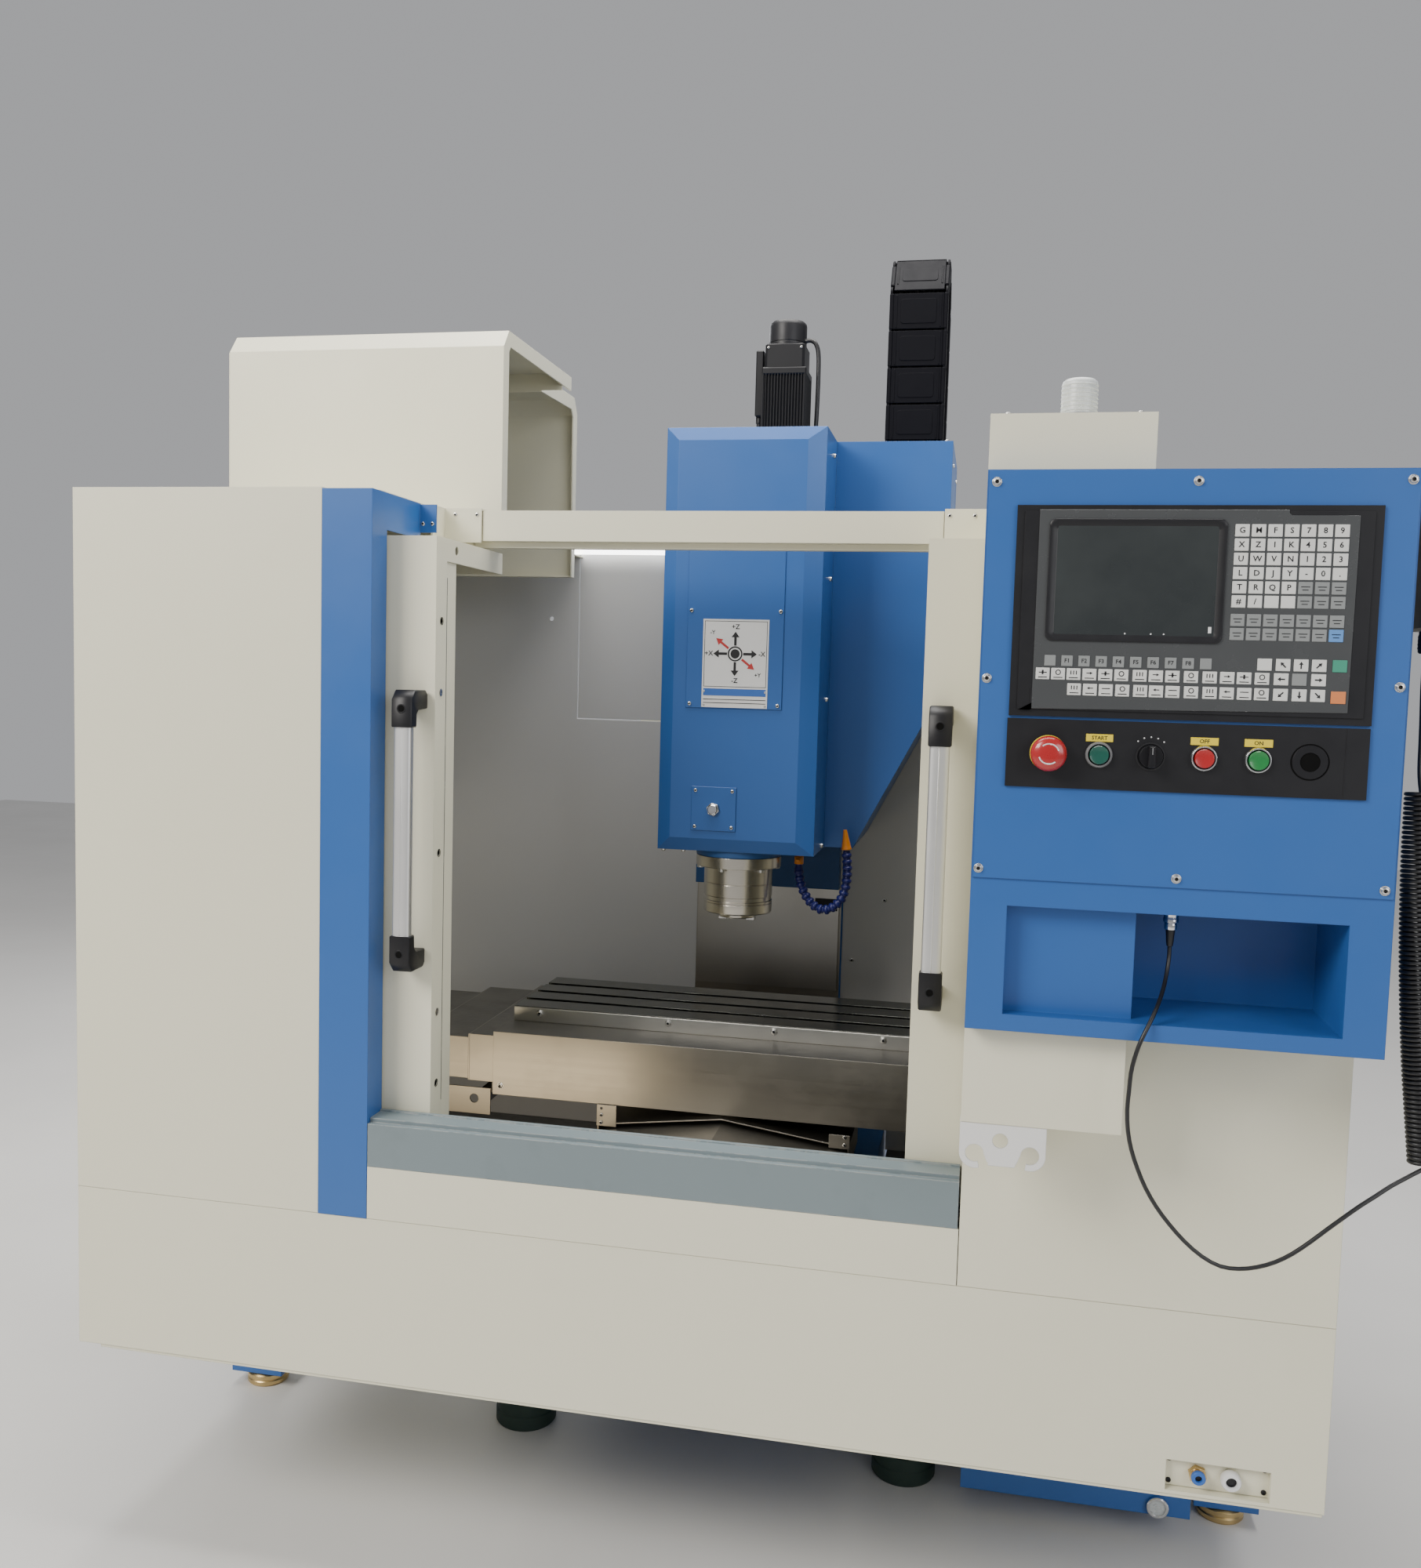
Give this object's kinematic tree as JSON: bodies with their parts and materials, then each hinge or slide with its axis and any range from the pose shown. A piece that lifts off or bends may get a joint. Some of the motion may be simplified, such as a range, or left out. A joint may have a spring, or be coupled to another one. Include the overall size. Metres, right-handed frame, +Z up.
{
  "type": "cnc machining center",
  "caption": "Small enclosed vertical machining centre with sliding front doors, moving table and head, control box, shelf niche and hand-wheel pendant on a coiled cord.",
  "frame": {"origin": "on the floor, at the middle of the footprint measured without the pendant's cord", "axes": "+X to the operator's right, +Y from the operator to the back of the machine, +Z up"},
  "size_m": [1.8704, 1.916, 2.2299],
  "materials": {
    "beige_paint": "semi-gloss",
    "blue_paint": "semi-gloss",
    "grey_paint": "satin",
    "sill_paint": "worn satin",
    "steel": "ground",
    "stainless": "brushed",
    "chrome": "polished",
    "cast_iron": "ground and oiled",
    "aluminium": "satin",
    "brass": "turned",
    "rubber": "matt",
    "black_plastic": "matt",
    "film": "membrane film",
    "black_metal": "satin",
    "white_paint": "satin",
    "red": "glossy",
    "green": "glossy",
    "lamp": "glowing",
    "cream_lamp": "frosted",
    "clear": "clear",
    "cord": "matt"
  },
  "bodies": {
    "machine": {"bed_casting": "blue_paint", "column_casting": "blue_paint", "isolation_pads": "rubber", "leg_brackets": "blue_paint", "levelling_feet": "brass", "base_tub": "beige_paint", "front_covers": "beige_paint", "door_pillar": "blue_paint", "sill": "sill_paint", "apron": "beige_paint", "side_panels": "beige_paint", "roof_panels": "beige_paint", "back_walls": "grey_paint", "top_beam": "beige_paint", "work_lamp": "lamp", "magazine_hood": "beige_paint", "control_box": "blue_paint", "control_face": "blue_paint", "duct_column": "beige_paint", "controller": "film", "switch_plate": "film", "hook_plate": "white_paint", "beacon_lamp": "cream_lamp", "coolant_tank": "blue_paint", "linear_rails": "steel", "fixed_way_covers": "stainless", "electrical_cabinet": "beige_paint", "pendant_body": "black_plastic", "pendant_cord": "cord", "pendant_plug": "chrome"},
    "cabinet_door": {"cabinet_door": "beige_paint"},
    "left_door": {"door_left": "beige_paint", "door_left_window": "clear", "door_left_handle": "aluminium"},
    "right_door": {"door_right": "beige_paint", "door_right_window": "clear", "door_right_handle": "aluminium"},
    "saddle": {"saddle": "cast_iron", "saddle_covers": "stainless"},
    "y_cover": {"y_cover_middle": "stainless"},
    "table": {"table": "cast_iron", "table_skirts": "stainless"},
    "x_cover_l1": {"x_cover_left_1": "stainless"},
    "x_cover_l2": {"x_cover_left_2": "stainless"},
    "x_cover_r1": {"x_cover_right_1": "stainless"},
    "x_cover_r2": {"x_cover_right_2": "stainless"},
    "head": {"headstock": "blue_paint", "head_covers": "blue_paint", "spindle_cartridge": "steel", "z_cover_moving": "stainless", "spindle_motor": "black_metal", "coolant_hose": "black_plastic"},
    "spindle": {"spindle_shaft": "steel"},
    "chain": {"cable_chain": "black_plastic"},
    "estop": {"estop_button": "red"},
    "start": {"start_button": "green"},
    "stop": {"stop_button": "red"},
    "power": {"power_button": "green"},
    "selector": {"selector_switch": "black_plastic"},
    "wheel": {"pendant_wheel": "black_plastic"}
  },
  "joints": [
    {"name": "left_door_slide", "type": "slide", "parent": "machine", "child": "left_door", "axis": [1, 0, 0], "range_m": [0, 0.342]},
    {"name": "right_door_slide", "type": "slide", "parent": "machine", "child": "right_door", "axis": [-1, 0, 0], "range_m": [0, 0.342]},
    {"name": "cabinet_door_hinge", "type": "hinge", "parent": "machine", "child": "cabinet_door", "pos_m": [-0.42425, 0.9345, 1.07], "axis": [0, 0, 1], "range_deg": [0, 110]},
    {"name": "y_axis", "type": "slide", "parent": "machine", "child": "saddle", "axis": [0, 1, 0], "range_m": [-0.11, 0.11]},
    {"name": "y_cover_slide", "type": "slide", "parent": "machine", "child": "y_cover", "axis": [0, 1, 0], "range_m": [-0.06, 0.06]},
    {"name": "x_axis", "type": "slide", "parent": "saddle", "child": "table", "axis": [1, 0, 0], "range_m": [-0.24, 0.21]},
    {"name": "x_cover_l1_slide", "type": "slide", "parent": "saddle", "child": "x_cover_l1", "axis": [1, 0, 0], "range_m": [-0.2, 0.175]},
    {"name": "x_cover_l2_slide", "type": "slide", "parent": "saddle", "child": "x_cover_l2", "axis": [1, 0, 0], "range_m": [-0.1, 0.09]},
    {"name": "x_cover_r1_slide", "type": "slide", "parent": "saddle", "child": "x_cover_r1", "axis": [1, 0, 0], "range_m": [-0.2, 0.175]},
    {"name": "x_cover_r2_slide", "type": "slide", "parent": "saddle", "child": "x_cover_r2", "axis": [1, 0, 0], "range_m": [-0.1, 0.09]},
    {"name": "z_axis", "type": "slide", "parent": "machine", "child": "head", "axis": [0, 0, 1], "range_m": [-0.07, 0.3]},
    {"name": "spindle_turn", "type": "hinge", "parent": "head", "child": "spindle", "pos_m": [-0.02525, -0.151, 1], "axis": [0, 0, 1], "continuous": true},
    {"name": "chain_slide", "type": "slide", "parent": "machine", "child": "chain", "axis": [0, 0, 1], "range_m": [-0.04, 0.155]},
    {"name": "estop_press", "type": "slide", "parent": "machine", "child": "estop", "axis": [0, 1, 0], "range_m": [0, 0.005], "stiffness_N_per_m": 1500},
    {"name": "start_press", "type": "slide", "parent": "machine", "child": "start", "axis": [0, 1, 0], "range_m": [0, 0.004], "stiffness_N_per_m": 800},
    {"name": "stop_press", "type": "slide", "parent": "machine", "child": "stop", "axis": [0, 1, 0], "range_m": [0, 0.004], "stiffness_N_per_m": 800},
    {"name": "power_press", "type": "slide", "parent": "machine", "child": "power", "axis": [0, 1, 0], "range_m": [0, 0.004], "stiffness_N_per_m": 800},
    {"name": "selector_turn", "type": "hinge", "parent": "machine", "child": "selector", "pos_m": [0.58475, -0.932, 1.27], "axis": [0, -1, 0], "range_deg": [0, 90]},
    {"name": "wheel_turn", "type": "hinge", "parent": "machine", "child": "wheel", "pos_m": [0.92475, -0.847, 1.48], "axis": [1, 0, 0], "continuous": true}
  ],
  "couplings": [
    {"joint": "y_cover_slide", "follows": "y_axis", "ratio": 0.5},
    {"joint": "x_cover_l1_slide", "follows": "x_axis", "ratio": 0.8},
    {"joint": "x_cover_l2_slide", "follows": "x_axis", "ratio": 0.4},
    {"joint": "x_cover_r1_slide", "follows": "x_axis", "ratio": 0.8},
    {"joint": "x_cover_r2_slide", "follows": "x_axis", "ratio": 0.4},
    {"joint": "chain_slide", "follows": "z_axis", "ratio": 0.5}
  ]
}
